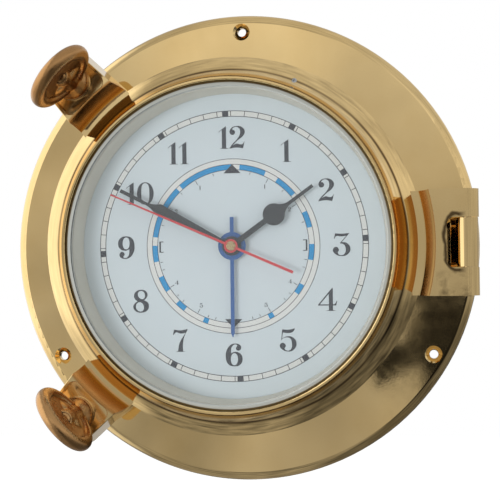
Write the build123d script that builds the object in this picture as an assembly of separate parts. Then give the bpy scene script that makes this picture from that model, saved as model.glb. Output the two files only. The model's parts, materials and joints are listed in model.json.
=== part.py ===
from build123d import *
import math
import os

# A tide clock in a brass porthole case that hangs on a wall.
# Pieces are drawn as seen from the front: x to the right, y up, and depth measured from the wall
# towards the viewer. Each is then turned, so that the front faces -Y and +Z is up.
# All lengths are in millimetres, all angles in degrees. Dial angles run clockwise from 12 o'clock.

# Opening of the door, which the other radii follow
lip_radius = 70.7
lip_width = 1.3
lip_round = 0.5
lip_thickness = 1.7
door_bore = lip_radius + 1.0
slope_width = 5.8
slope_bulge = 1.0
valley_radius = lip_radius + slope_width
band_width = 6.1
crown_bulge = 0.35
door_radius = valley_radius + band_width
door_edge_round = 0.6

# Seam between base and door, which the other depths follow
seam_depth = 40.5
seam_gap = 0.3
door_edge_height = 3.5
door_edge_depth = seam_depth + door_edge_height
valley_rise = 3.0
valley_depth = door_edge_depth + valley_rise
lip_rise = 12.0
lip_depth = valley_depth + lip_rise

# Base casting: flange, barrel and rim
rim_inset = 1.1
rim_radius = door_radius - rim_inset
rim_depth = 5.0
rim_slope = 1.5
barrel_radius = rim_radius - rim_slope
barrel_wall = 3.5
barrel_bore = barrel_radius - barrel_wall
barrel_foot = 3.0
flange_width = 28.0
flange_radius = barrel_radius + flange_width
flange_thickness = 5.0
flange_edge_width = 4.0
flange_back_round = 1.0
flange_foot_rise = 0.8
dial_rebate = 1.5
dial_radius = barrel_bore - dial_rebate
dial_seat_width = 5.0
seat_bore = dial_radius - dial_seat_width
seat_depth = 3.0
seat_slope = 2.7
wall_hole_inset = 8.0
wall_hole_circle = (flange_radius - wall_hole_inset) * 2
wall_hole_radius = 2.0
wall_hole_sink_radius = 3.3
wall_hole_count = 3

# Seal between base and door
seal_inset = 4.3
seal_radius = door_radius - seal_inset
seal_width = 2.0
seal_height = 1.1
seal_squeeze_gap = 0.2

# Grub screw in the door ring's valley
bezel_screw_angle = 22.0
bezel_screw_radius = 1.1
bezel_screw_length = 2.6
bezel_screw_sunk = 0.6
bezel_key_radius = 0.65
bezel_key_depth = 1.2

# Glass and its seal
glass_side_gap = 0.3
glass_radius = door_bore - glass_side_gap
glass_thickness = 3.0
glass_bevel_width = 3.1
glass_bevel_depth = 1.8
glass_sunk = 0.7
glass_front = lip_depth - glass_sunk
glass_seal_width = 2.8
glass_seal_inner = glass_radius - glass_seal_width
glass_seal_thickness = 1.0

# Surround, the pale wall between glass and dial
surround_step = 3.8
surround_taper = 1.1
surround_side_gap = 0.2
surround_flange_width = 3.0
surround_dial_radius = lip_radius - surround_step
surround_glass_radius = surround_dial_radius + surround_taper
surround_outer = glass_radius - surround_side_gap
surround_flange_radius = surround_outer + surround_flange_width
surround_flange_thickness = 1.4
surround_flange_sunk = 0.6
surround_dial_gap = 0.3
surround_screw_inset = 1.3
surround_screw_circle = surround_flange_radius - surround_screw_inset
surround_screw_radius = 0.6
surround_screw_head_radius = 1.1
surround_screw_head = 0.6
surround_screw_bite = 3.0
surround_screw_count = 4
surround_recess_clearance = 0.3

# Lugs on the door and bosses on the base, one pair for each thumb screw
lug_angles = (316.9, 222.8)
bolt_offset = 15.5
bolt_circle = door_radius + bolt_offset
lug_height = 19.5
lug_top_depth = seam_depth + lug_height
lug_width = 28.0
lug_taper = 4.5
lug_draft = 2.9
lug_overlap = 3.6
lug_root_radius = door_radius - lug_overlap
lug_end_past = 10.8
lug_end_radius = bolt_circle + lug_end_past
lug_corner = 4.5
lug_edge_round = 0.3
lug_step_ledge = 0.9
lug_step_lean = 2.6
step_foot_rise = 1.0
step_foot_depth = door_edge_depth + step_foot_rise
step_bulge = 0.8
lug_pocket_ledge = 1.2
lug_pocket_radius = door_radius + lug_step_ledge + lug_step_lean + lug_pocket_ledge
lug_pocket_wall = 1.4
lug_pocket_corner = 3.0
lug_seat_sunk = 2.5
washer_thickness = 0.6
boss_radius = 9.8
boss_web_width = 16.0
boss_web_overlap = 0.5
bush_radius = 5.0
bush_bore = 3.8
bush_length = 12.0

# Thumb screw: stud, retaining ring and cast paddle nut
stud_radius = 3.0
stud_clearance = 0.1
stud_tip_radius = 2.2
stud_tip_reach = 6.0
stud_chamfer = 0.8
ring_groove_radius = 2.5
ring_clearance = 0.05
ring_outer = 5.4
ring_thickness = 0.9
ring_side_gap = 0.1
ring_rest_gap = 0.9
ring_bay_radius = 6.2
thumb_lift = 8.0
ring_lift_gap = 0.3
paddle_radius = 15.9
paddle_rim = 3.1
paddle_height = 18.4
paddle_web = 3.0
paddle_lean = 4.5
paddle_turns = (-5.7, 9.2)
paddle_boss_radius = 4.6
paddle_boss_height = 6.4
stud_end_past = 2.5
hub_radius = 7.7
hub_neck_radius = 5.2
hub_wall = 2.6
hub_depth = 8.0
paddle_window = 3.3
washer_past_hub = 0.3
washer_radius = hub_radius + washer_past_hub

# Hinge at 3 o'clock
ear_radius = 5.0
hinge_offset = 18.7
hinge_x = door_radius + hinge_offset
hinge_depth = lug_top_depth - ear_radius
arm_half_height = 22.3
arm_step_ledge = 1.6
arm_step_lean = 4.2
arm_overlap = 4.6
arm_root_x = door_radius - arm_overlap
ear_reach = 7.3
ear_under_x = hinge_x - ear_reach
notch_reach = 8.5
notch_x = hinge_x - notch_reach
notch_half_height = 10.5
notch_corner = 3.0
knuckle_radius = 4.7
knuckle_side_gap = 0.3
pedestal_reach = 6.8
pedestal_inner_x = hinge_x - pedestal_reach
pedestal_shoulder_drop = 11.0
pedestal_shoulder_depth = hinge_depth - pedestal_shoulder_drop
hinge_pin_radius = 1.9
hinge_pin_clearance = 0.05
hinge_pin_proud = 0.3

# Dial
dial_thickness = 1.0
dial_sunk = 0.8
dial_face = seam_depth - dial_sunk
dial_bush_hole = 4.1
dial_screw_inset = 2.0
dial_screw_circle = dial_radius - dial_screw_inset
dial_screw_radius = 0.75
dial_screw_head_radius = 1.4
dial_screw_head = 0.6
dial_screw_bite = 2.2
dial_screw_count = 4
screw_clearance = 0.05

# Hands, with their height above the dial face
hand_thickness = 0.5
tide_hand_height = 2.5
hour_hand_height = 3.7
minute_hand_height = 4.9
second_hand_height = 6.1
tube_proud = 0.2
tide_hand_angle = 180.0
tide_hand_length = 40.0
tide_hand_tail = 12.7
tide_hand_width = 1.65
tide_hand_point = 2.0
tide_disc_radius = 6.1
hour_hand_angle = 54.3
hour_hand_length = 44.0
hour_disc_radius = 4.2
hour_stem_width = 2.4
hour_drop_distance = 23.0
hour_drop_radius = 4.8
hour_drop_shoulder = 3.35
hour_drop_length = 9.0
hour_tip_width = 1.5
minute_hand_angle = 297.0
minute_hand_length = 55.0
minute_disc_radius = 3.6
minute_root_width = 1.4
minute_shoulder_distance = 36.0
minute_shoulder_width = 5.3
minute_shoulder_curve = 0.9
minute_bar_distance = 45.0
minute_tip_width = 1.6
second_hand_angle = 293.6
second_hand_side_gap = 8.9
second_hand_length = surround_dial_radius - second_hand_side_gap
second_hand_tail = 29.5
second_hand_width = 1.25
second_tip_width = 0.7
second_disc_radius = 3.0
cap_radius = 2.3
cap_height = 1.1
cap_top_radius = 1.6

# Tubes and arbors at the centre of the dial
second_arbor_radius = 0.5
tube_gap = 0.1
minute_tube_radius = 1.2
hour_tube_radius = 1.9
tide_tube_radius = 2.6
centre_bush_radius = 3.9
centre_bush_proud = 2.2
bush_shoulder_radius = 5.5
bush_shoulder_thickness = 0.7
centre_nut_flats = 10.0
centre_nut_thickness = 2.0

# Movement case
gasket_thickness = 0.8
gasket_radius = 20.0
cover_thickness = 1.5
case_top = 30.5
case_corner = 2.0
case_wall = 1.5
case_cavity_depth = 14.0
cavity_bottom = -15.3
latch_window_low = -3.0
latch_window_height = 12.0
latch_window_rise = 2.0
latch_window_depth = 9.6

# Battery, its contacts and the bay that they fill
battery_radius = 7.1
battery_length = 49.2
battery_nub_radius = 2.7
battery_nub = 1.2
battery_gap = 0.1
contact_thickness = 0.4
contact_width = 11.0
contact_dimple_radius = 2.5
negative_dimple = 1.2
positive_dimple = 2.4
bay_wall = 1.2
bay_side_gap = 0.4
bay_depth = battery_radius * 2 + battery_gap
bay_length = battery_length + battery_nub + battery_gap * 2 + contact_thickness * 2
bay_length += negative_dimple + positive_dimple
case_half_width = bay_length / 2 + case_wall
case_bottom = cavity_bottom - case_wall - (battery_radius + bay_side_gap) * 2 - bay_wall

# Wheels of the movement: arbor places as distance and dial angle from the centre
arbor_radius = 0.7
pivot_radius = 0.45
pivot_clearance = 0.05
pivot_length = 0.8
pivot_hole_length = 1.0
arbor_end_gap = 0.1
motion_distance = 12.0
motion_angle = 250.0
third_distance = 12.0
third_angle = 105.0
intermediate_distance = 12.5
intermediate_angle = 330.0
idler_distance = 14.0
idler_angle = 30.0
rotor_distance = 9.0
rotor_angle = 300.0

# Teeth of each meshing pair
cannon_teeth, motion_teeth = 12, 36
motion_pinion_teeth, hour_teeth = 10, 40
tide_drive_teeth, idler_teeth, tide_teeth = 57, 20, 59
second_pinion_teeth, third_teeth = 8, 60
third_pinion_teeth, centre_teeth = 8, 64
rotor_pinion_teeth, intermediate_teeth = 12, 60
intermediate_pinion_teeth, second_teeth = 10, 60

# Tooth shape, as shares of the module
wheel_addendum_share = 0.8
pinion_addendum_share = 0.6
dedendum_share = 1.25
wheel_half_width_shares = (0.66, 0.60, 0.26)
pinion_half_width_shares = (0.42, 0.52, 0.24)

# Depths of the wheels, measured from the movement case's inner back wall
rotor_pinion_place = (0.6, 1.5)
intermediate_wheel_place = (0.8, 1.3)
intermediate_pinion_place = (1.8, 2.8)
second_wheel_place = (2.0, 2.6)
second_pinion_place = (3.2, 4.4)
third_wheel_place = (3.4, 4.0)
third_pinion_place = (6.0, 7.2)
centre_wheel_place = (6.2, 7.0)
centre_hub_place = (5.7, 7.5)
cannon_flange_place = (5.1, 5.6)
cannon_pinion_place = (7.8, 9.2)
motion_wheel_place = (8.0, 9.0)
motion_pinion_place = (9.4, 10.8)
hour_wheel_place = (9.6, 10.6)
tide_drive_place = (11.0, 12.0)
idler_drive_place = (10.9, 12.2)
idler_tide_place = (12.4, 13.8)
tide_wheel_place = (12.6, 13.6)
centre_hub_radius = 2.2
cannon_flange_radius = 1.8
magnet_radius = 3.0
magnet_place = (1.8, 5.4)

# Coil, stator and circuit board
stator_left = -19.0
stator_right = 20.5
stator_rotor_edge = -9.0
stator_bottom = 10.5
stator_bar_bottom = 23.0
stator_bar_top = 26.0
stator_place = (3.1, 4.1)
stator_hole_radius = 3.7
stator_post_inset = 1.8
coil_left = -3.0
coil_right = 17.0
coil_core_radius = 1.9
coil_flange_radius = 3.0
coil_flange_thickness = 0.8
coil_winding_radius = 2.8
coil_bar_gap = 0.05
board_left = -8.0
board_right = 25.0
board_bottom = 17.5
board_top = 28.5
board_place = (7.6, 8.4)
board_post_inset = 1.6
post_radius = 1.2
chip_side = 5.0
chip_height = 1.0
chip_x = 19.0
chip_y = 22.0
crystal_radius = 1.0
crystal_length = 6.0
crystal_x = 4.0
crystal_y = 25.5

# Setting knob behind the movement
knob_radius = 5.0
knob_length = 5.4
knob_case_gap = 1.0
knob_flutes = 18
knob_flute_radius = 0.6
knob_arbor_end = 1.0

# Depths that follow from the ones above
cut_over = 1.0
rim_front = seam_depth - seam_gap
dial_back = dial_face - dial_thickness
cover_front = dial_back - gasket_thickness
cover_back = cover_front - cover_thickness
case_floor = cover_back - case_cavity_depth
case_back = case_floor - case_wall
glass_back = glass_front - glass_thickness
surround_top = glass_back - glass_seal_thickness
surround_bottom = dial_face + surround_dial_gap
surround_seat = seam_depth + surround_flange_thickness + surround_flange_sunk
lip_under = lip_depth - lip_thickness - lip_round / 2
lug_seat_depth = lug_top_depth - lug_seat_sunk
nut_depth = lug_seat_depth + washer_thickness
paddle_centre_depth = nut_depth + paddle_height
stud_end_depth = paddle_centre_depth + stud_end_past
ring_back = seam_depth + ring_rest_gap
ring_front = ring_back + ring_thickness
bolt_places = [(bolt_circle, angle) for angle in lug_angles]

BOTTOM = (Align.CENTER, Align.CENTER, Align.MIN)
FORWARD = (0, 0, 1)
TO_FRONT = Rot(90, 0, 0)


def dial_point(distance, angle):
    """The point at a distance from the centre, at a dial angle."""
    turn = math.radians(angle)
    return distance * math.sin(turn), distance * math.cos(turn)


def disc(radius, back, front, at=(0, 0)):
    return Pos(at[0], at[1], back) * Cylinder(radius, front - back, align=BOTTOM)


def ring(outer, inner, back, front, at=(0, 0)):
    return disc(outer, back, front, at) - disc(inner, back, front, at)


def slab(left, right, low, high, back, front):
    middle = Pos((left + right) / 2, (low + high) / 2, back)
    return middle * Box(right - left, high - low, front - back, align=BOTTOM)


def cone(back_radius, front_radius, back, front, at=(0, 0)):
    return Pos(at[0], at[1], back) * Cone(back_radius, front_radius, front - back, align=BOTTOM)


def outline(*lines):
    """A face on the drawing plane, closed by the given curves."""
    edges = Curve() + list(lines)
    return make_face(edges.edges())


def turned(*lines):
    """A solid turned about the clock's axis from an outline of radius and depth."""
    return revolve(Plane.XZ * outline(*lines), Axis.Z)


def across(face, half_length):
    """An outline of x and depth, drawn out up and down from the middle."""
    return extrude(Plane.XZ * face, amount=half_length, both=True)


def clockwise(shape, angle):
    return Rot(0, 0, -angle) * shape


def save(name, *shapes):
    solids = [TO_FRONT * solid for shape in shapes for solid in shape.solids()]
    whole = Compound(solids) if len(solids) > 1 else solids[0]
    export_step(whole, os.path.join("parts", name + ".step"))


def bulged(start, end, bulge):
    """An arc from start to end that stands off its chord by bulge, to the right of the way."""
    middle_x, middle_y = (start[0] + end[0]) / 2, (start[1] + end[1]) / 2
    along_x, along_y = end[0] - start[0], end[1] - start[1]
    length = math.hypot(along_x, along_y)
    middle = (middle_x + bulge * along_y / length, middle_y - bulge * along_x / length)
    return ThreePointArc(start, middle, end)


# Base

def flange_and_barrel():
    edge_foot = (flange_radius, flange_back_round)
    edge_top = (flange_radius - flange_edge_width, flange_thickness)
    barrel_foot_point = (barrel_radius, flange_thickness + flange_foot_rise + barrel_foot)
    seal_foot = rim_front - seal_height + seal_squeeze_gap - seam_gap
    path = [
        edge_top,
        (barrel_radius + barrel_foot, flange_thickness + flange_foot_rise),
        barrel_foot_point,
        (barrel_radius, rim_front - rim_depth - rim_slope),
        (rim_radius, rim_front - rim_depth),
        (rim_radius, rim_front),
        (seal_radius + seal_width / 2, rim_front),
        (seal_radius + seal_width / 2, seal_foot),
        (seal_radius - seal_width / 2, seal_foot),
        (seal_radius - seal_width / 2, rim_front),
        (dial_radius + surround_recess_clearance, rim_front),
        (dial_radius + surround_recess_clearance, dial_back),
        (seat_bore, dial_back),
        (seat_bore, dial_back - seat_depth),
        (barrel_bore, dial_back - seat_depth - seat_slope),
        (barrel_bore, 0),
        (flange_radius - flange_back_round, 0),
        edge_foot,
    ]
    return turned(bulged(edge_foot, edge_top, flange_back_round), Polyline(*path))


def boss(angle):
    """The column under a lug, with the web that ties it to the barrel."""
    column = disc(boss_radius, 0, rim_front, (0, bolt_circle))
    half = boss_web_width / 2
    web = slab(-half, half, barrel_radius - boss_web_overlap, bolt_circle, 0, rim_front)
    return clockwise(column + web, angle)


def pedestal():
    """The hinge post on the flange, with the knuckle around the pin."""
    outer_x = hinge_x + knuckle_radius
    face = Polygon(
        (pedestal_inner_x, flange_back_round),
        (outer_x, flange_back_round),
        (outer_x, hinge_depth),
        (hinge_x - knuckle_radius, hinge_depth),
        (pedestal_inner_x, pedestal_shoulder_depth),
        align=None,
    )
    face += Pos(hinge_x, hinge_depth) * Circle(knuckle_radius)
    return across(face, notch_half_height - knuckle_side_gap)


def hinge_hole(radius, half_length):
    turn = Pos(hinge_x, 0, hinge_depth) * Rot(90, 0, 0)
    return turn * Cylinder(radius, half_length * 2)


def wall_hole(index):
    at = dial_point(wall_hole_circle / 2, index * 360 / wall_hole_count)
    sink = wall_hole_sink_radius - wall_hole_radius
    top = flange_thickness + flange_foot_rise
    hole = disc(wall_hole_radius, -cut_over, top + cut_over, at)
    mouth = cone(wall_hole_radius, wall_hole_sink_radius + sink, top - sink * 2, top, at)
    return hole + mouth


def base_casting():
    base = flange_and_barrel()
    for angle in lug_angles:
        base += boss(angle)
    base += pedestal()
    base -= hinge_hole(hinge_pin_radius, arm_half_height)
    for index in range(wall_hole_count):
        base -= wall_hole(index)
    for place in bolt_places:
        base -= disc(bush_radius, rim_front - bush_length, rim_front + cut_over, dial_point(*place))
    for index in range(dial_screw_count):
        at = dial_screw_place(index)
        base -= disc(dial_screw_radius, dial_back - dial_screw_bite, dial_back + cut_over, at)
    # The barrel stays open behind the dial, so the bosses' webs are trimmed to its bore.
    return base - disc(barrel_bore, -cut_over, dial_back - seat_depth - seat_slope)


def boss_bush(place):
    return ring(bush_radius, bush_bore, rim_front - bush_length, rim_front, dial_point(*place))


def hinge_pin():
    pin = hinge_hole(hinge_pin_radius, arm_half_height + hinge_pin_proud)
    return chamfer(pin.edges().filter_by(GeomType.CIRCLE), hinge_pin_proud)


def rim_seal():
    foot = rim_front - seal_height + seal_squeeze_gap - seam_gap
    half = seal_width / 2
    return ring(seal_radius + half, seal_radius - half, foot, seam_depth - seal_squeeze_gap)


# Door

def door_ring():
    lip_corner = (lip_radius, lip_depth - lip_round)
    lip_front = (lip_radius + lip_round, lip_depth)
    lip_outer = (lip_radius + lip_width, lip_depth)
    valley = (valley_radius, valley_depth)
    band_end = (door_radius - door_edge_round, door_edge_depth)
    inner = [
        band_end,
        (door_radius, door_edge_depth - door_edge_round),
        (door_radius, seam_depth),
        (surround_flange_radius + surround_recess_clearance, seam_depth),
        (surround_flange_radius + surround_recess_clearance, surround_seat),
        (door_bore, surround_seat),
        (door_bore, lip_under),
        (lip_radius, lip_under),
        lip_corner,
    ]
    return turned(
        bulged(lip_corner, lip_front, -(lip_round / 4)),
        Line(lip_front, lip_outer),
        bulged(lip_outer, valley, slope_bulge),
        bulged(valley, band_end, -crown_bulge),
        Polyline(*inner),
    )


def step_cut(ledge, lean):
    """What is turned away in front of a lug or the hinge arm, down to the door ring and past its edge."""
    foot = (door_radius + ledge, step_foot_depth)
    top = (foot[0] + lean, lug_top_depth + cut_over)
    path = [top, (lip_radius, top[1]), (lip_radius, step_foot_depth), foot]
    return turned(bulged(foot, top, step_bulge), Polyline(*path))


def lug_plan():
    """A lug from the front, narrower towards its outer end."""
    wide = lug_width / 2
    narrow = wide - (lug_end_radius - lug_root_radius) * math.tan(math.radians(lug_taper))
    corners = [(-wide, lug_root_radius), (wide, lug_root_radius)]
    plan = Polygon(*corners, (narrow, lug_end_radius), (-narrow, lug_end_radius), align=None)
    return fillet(plan.vertices().group_by(Axis.Y)[-1], lug_corner)


def lug():
    plan = lug_plan()
    block = extrude(Pos(0, 0, seam_depth) * plan, amount=lug_height, taper=lug_draft)
    block -= step_cut(lug_step_ledge, lug_step_lean)
    inset = lug_height * math.tan(math.radians(lug_draft)) + lug_pocket_wall
    pocket = offset(plan, -inset) - Circle(lug_pocket_radius)
    pocket = fillet(pocket.vertices().group_by(Axis.Y)[0], lug_pocket_corner)
    block -= extrude(Pos(0, 0, lug_seat_depth) * pocket, amount=lug_seat_sunk + cut_over)
    top = block.faces().filter_by(Plane.XY).group_by(Axis.Z)[-1]
    return fillet(top.edges(), lug_edge_round)


def hinge_arm():
    face = Polygon(
        (arm_root_x, seam_depth),
        (ear_under_x, seam_depth),
        (hinge_x + ear_radius * math.sin(math.pi / 4), hinge_depth - ear_radius * math.sin(math.pi / 4)),
        (hinge_x, hinge_depth + ear_radius),
        (arm_root_x, hinge_depth + ear_radius),
        align=None,
    )
    face += Pos(hinge_x, hinge_depth) * Circle(ear_radius)
    arm = across(face, arm_half_height) - step_cut(arm_step_ledge, arm_step_lean)
    reach = hinge_x + ear_radius + cut_over - notch_x
    plan = Pos(notch_x + reach / 2, 0) * Rectangle(reach, notch_half_height * 2)
    plan = fillet(plan.vertices().group_by(Axis.X)[0], notch_corner)
    arm -= extrude(Pos(0, 0, seam_depth - cut_over) * plan, amount=lug_top_depth)
    return arm - hinge_hole(hinge_pin_radius + hinge_pin_clearance, arm_half_height + cut_over)


def bezel_screw_place():
    return dial_point(valley_radius, bezel_screw_angle)


def door_casting():
    door = door_ring() + hinge_arm()
    for angle in lug_angles:
        door += clockwise(lug(), angle)
    keep_out = disc(door_bore, surround_seat, lip_under)
    door -= keep_out
    for place in bolt_places:
        at = dial_point(*place)
        bay_top = ring_front + thumb_lift + ring_lift_gap
        door -= disc(stud_radius + stud_clearance, seam_depth - cut_over, lug_top_depth, at)
        door -= disc(ring_bay_radius, seam_depth - cut_over, bay_top, at)
    depth = valley_depth - bezel_screw_sunk - bezel_screw_length
    door -= disc(bezel_screw_radius, depth, lip_depth, bezel_screw_place())
    for index in range(surround_screw_count):
        at = surround_screw_place(index)
        door -= disc(surround_screw_radius, seam_depth, surround_seat + surround_screw_bite, at)
    return door


def bezel_screw():
    back = valley_depth - bezel_screw_sunk - bezel_screw_length
    front = back + bezel_screw_length
    key = RegularPolygon(bezel_key_radius, 6)
    screw = disc(bezel_screw_radius, back, front)
    screw -= extrude(Pos(0, 0, front - bezel_key_depth) * key, amount=bezel_key_depth + cut_over)
    at = bezel_screw_place()
    return Pos(at[0], at[1], 0) * screw


def glass():
    inner = glass_radius - glass_bevel_width
    bevel_foot = glass_front - glass_bevel_depth
    path = [
        (0, glass_back),
        (glass_radius, glass_back),
        (glass_radius, bevel_foot),
        (inner, glass_front),
        (0, glass_front),
        (0, glass_back),
    ]
    return turned(Polyline(*path))


def glass_seal():
    return ring(glass_radius, glass_seal_inner, surround_top, glass_back)


def surround_screw_place(index):
    return dial_point(surround_screw_circle, (index + 0.5) * 360 / surround_screw_count)


def surround():
    flange_back = surround_seat - surround_flange_thickness
    path = [
        (surround_dial_radius, surround_bottom),
        (surround_outer, surround_bottom),
        (surround_outer, flange_back),
        (surround_flange_radius, flange_back),
        (surround_flange_radius, surround_seat),
        (surround_outer, surround_seat),
        (surround_outer, surround_top),
        (surround_glass_radius, surround_top),
        (surround_dial_radius, surround_bottom),
    ]
    body = turned(Polyline(*path))
    for index in range(surround_screw_count):
        at = surround_screw_place(index)
        hole = surround_screw_radius + screw_clearance
        head = surround_screw_head_radius + screw_clearance
        body -= disc(hole, flange_back - cut_over, surround_seat + cut_over, at)
        body -= disc(head, flange_back - cut_over, flange_back + surround_screw_head, at)
    return body


def surround_screw(index):
    at = surround_screw_place(index)
    flange_back = surround_seat - surround_flange_thickness
    head_front = flange_back + surround_screw_head
    shank = disc(surround_screw_radius, head_front, surround_seat + surround_screw_bite, at)
    return disc(surround_screw_head_radius, flange_back, head_front, at) + shank


def seat_washer(place):
    hole = stud_radius + stud_clearance
    return ring(washer_radius, hole, lug_seat_depth, nut_depth, dial_point(*place))


# Thumb screws

def retaining_ring(place):
    inner = ring_groove_radius + ring_clearance
    return ring(ring_outer, inner, ring_back, ring_front, dial_point(*place))


def stud(place):
    at = dial_point(*place)
    tip = seam_depth - stud_tip_reach
    shank = disc(stud_radius, seam_depth, stud_end_depth, at)
    shank = chamfer(shank.edges().group_by(Axis.Z)[-1], stud_chamfer)
    groove_back, groove_front = ring_back - ring_side_gap, ring_front + ring_side_gap
    shank -= ring(stud_radius + cut_over, ring_groove_radius, groove_back, groove_front, at)
    return shank + cone(stud_tip_radius, stud_radius, tip, seam_depth, at)


def thumb_nut(place, turn):
    """The cast paddle: a rim and thin web that lean outwards, and a hub that sits in the lug's pocket."""
    centre = Pos(0, 0, paddle_centre_depth)
    flat = Rot(90 - paddle_lean, 0, 0)
    rim = centre * flat * Torus(paddle_radius - paddle_rim, paddle_rim)
    web = centre * flat * Cylinder(paddle_radius - paddle_rim, paddle_web)
    boss = disc(paddle_boss_radius, nut_depth, paddle_centre_depth - paddle_boss_height / 2)
    hub = turned(
        Polyline(
            (0, nut_depth + hub_depth),
            (0, nut_depth),
            (hub_radius, nut_depth),
            (hub_radius, nut_depth + hub_wall),
        ),
        bulged(
            (hub_radius, nut_depth + hub_wall),
            (hub_neck_radius, nut_depth + hub_depth),
            -(hub_radius - hub_neck_radius) / 6,
        ),
        Line((hub_neck_radius, nut_depth + hub_depth), (0, nut_depth + hub_depth)),
    )
    nut = rim + web + boss + hub
    nut -= disc(stud_radius, nut_depth - cut_over, stud_end_depth)
    # The stud's end stands free in a round window through the web.
    nut -= disc(paddle_window, paddle_centre_depth, stud_end_depth + ring_lift_gap)
    at = dial_point(*place)
    return Pos(at[0], at[1], 0) * clockwise(nut, place[1] + turn)


# Dial and hands

def dial_screw_place(index):
    return dial_point(dial_screw_circle, (index + 0.5) * 360 / dial_screw_count)


def dial_plate():
    plate = ring(dial_radius, dial_bush_hole, dial_back, dial_face)
    for index in range(dial_screw_count):
        hole = dial_screw_radius + screw_clearance
        plate -= disc(hole, dial_back - cut_over, dial_face + cut_over, dial_screw_place(index))
    return plate


def dial_screw(index):
    at = dial_screw_place(index)
    shank = disc(dial_screw_radius, dial_back - dial_screw_bite, dial_face, at)
    return disc(dial_screw_head_radius, dial_face, dial_face + dial_screw_head, at) + shank


def hand(plan, bore, height, angle):
    """A flat hand drawn at 12 o'clock, with its bore, laid at its height and dial angle."""
    back = dial_face + height
    blade = extrude(Pos(0, 0, back) * (plan - Circle(bore)), amount=hand_thickness, dir=FORWARD)
    return clockwise(blade, angle)


def tide_hand():
    half = tide_hand_width / 2
    shoulder = tide_hand_length - tide_hand_point
    bar = Polygon(
        (-half, -tide_hand_tail),
        (half, -tide_hand_tail),
        (half, shoulder),
        (0, tide_hand_length),
        (-half, shoulder),
        align=None,
    )
    plan = bar + Circle(tide_disc_radius)
    return hand(plan, tide_tube_radius, tide_hand_height, tide_hand_angle)


def hour_hand():
    stem, tip = hour_stem_width / 2, hour_tip_width / 2
    neck = hour_drop_distance + hour_drop_length
    bar = Polygon(
        (-stem, 0),
        (stem, 0),
        (stem, hour_drop_distance),
        (tip, neck),
        (tip, hour_hand_length),
        (-tip, hour_hand_length),
        (-tip, neck),
        (-stem, hour_drop_distance),
        align=None,
    )
    shoulder = (hour_drop_shoulder, hour_drop_distance + hour_drop_shoulder)
    left_shoulder = (-shoulder[0], shoulder[1])
    drop = outline(
        bulged(shoulder, (tip, neck), -tip),
        Line((tip, neck), (-tip, neck)),
        bulged((-tip, neck), left_shoulder, -tip),
        Line(left_shoulder, shoulder),
    )
    plan = bar + drop + Pos(0, hour_drop_distance) * Circle(hour_drop_radius) + Circle(hour_disc_radius)
    return hand(plan, hour_tube_radius, hour_hand_height, hour_hand_angle)


def minute_hand():
    root, wide, tip = minute_root_width / 2, minute_shoulder_width / 2, minute_tip_width / 2
    shoulder, bar, end = minute_shoulder_distance, minute_bar_distance, minute_hand_length
    blade = outline(
        Line((root, 0), (wide, shoulder)),
        bulged((wide, shoulder), (tip, bar), -minute_shoulder_curve),
        Polyline((tip, bar), (tip, end), (-tip, end), (-tip, bar)),
        bulged((-tip, bar), (-wide, shoulder), -minute_shoulder_curve),
        Line((-wide, shoulder), (-root, 0)),
        Line((-root, 0), (root, 0)),
    )
    plan = blade + Circle(minute_disc_radius)
    return hand(plan, minute_tube_radius, minute_hand_height, minute_hand_angle)


def second_hand():
    wide, tip = second_hand_width / 2, second_tip_width / 2
    bar = Polygon(
        (-wide, -second_hand_tail),
        (wide, -second_hand_tail),
        (tip, second_hand_length),
        (-tip, second_hand_length),
        align=None,
    )
    plan = bar + Circle(second_disc_radius)
    return hand(plan, second_arbor_radius, second_hand_height, second_hand_angle)


def centre_cap():
    foot = dial_face + second_hand_height + hand_thickness
    cap = cone(cap_radius, cap_top_radius, foot, foot + cap_height)
    return cap - disc(second_arbor_radius, foot, foot + tube_proud)


# Movement: wheels

def place_depths(place):
    return case_floor + place[0], case_floor + place[1]


def toothed(teeth, module, place, at, tooth_angle, pinion=False):
    """A spur wheel with one tooth pointing at tooth_angle, a dial angle."""
    radius = module * teeth / 2
    addendum = module * (pinion_addendum_share if pinion else wheel_addendum_share)
    shares = pinion_half_width_shares if pinion else wheel_half_width_shares
    radii = (radius - module * dedendum_share, radius, radius + addendum)
    points = []
    for tooth in range(teeth):
        middle = tooth_angle + tooth * 360 / teeth
        sides = [(r, math.degrees(module * share / r)) for r, share in zip(radii, shares)]
        points += [dial_point(r, middle - half) for r, half in sides]
        points += [dial_point(r, middle + half) for r, half in reversed(sides)]
    back, front = place_depths(place)
    plan = Pos(0, 0, back) * Polygon(*points, align=None)
    wheel = extrude(plan, amount=front - back, dir=FORWARD)
    return Pos(at[0], at[1], 0) * wheel


def pair(teeth_a, teeth_b, distance):
    """The module of two meshing wheels that stand a distance apart."""
    return 2 * distance / (teeth_a + teeth_b)


def gap_angle(angle, teeth):
    """Where a wheel points a tooth, so that a gap faces a tooth that comes along angle."""
    return angle + 180 + 180 / teeth


motion_at = dial_point(motion_distance, motion_angle)
third_at = dial_point(third_distance, third_angle)
intermediate_at = dial_point(intermediate_distance, intermediate_angle)
idler_at = dial_point(idler_distance, idler_angle)
rotor_step = dial_point(rotor_distance, rotor_angle)
rotor_at = (intermediate_at[0] + rotor_step[0], intermediate_at[1] + rotor_step[1])
pivot_places = [third_at, intermediate_at, idler_at, rotor_at]


def arbor(at):
    """An arbor between the case's back wall and the cover, with a thin pivot at each end."""
    back, front = case_floor + arbor_end_gap, cover_back - arbor_end_gap
    reach = pivot_length + arbor_end_gap
    pivots = disc(pivot_radius, back - reach, front + reach, at)
    return disc(arbor_radius, back, front, at) + pivots


def tube_top(height):
    return dial_face + height + hand_thickness + tube_proud


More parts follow.
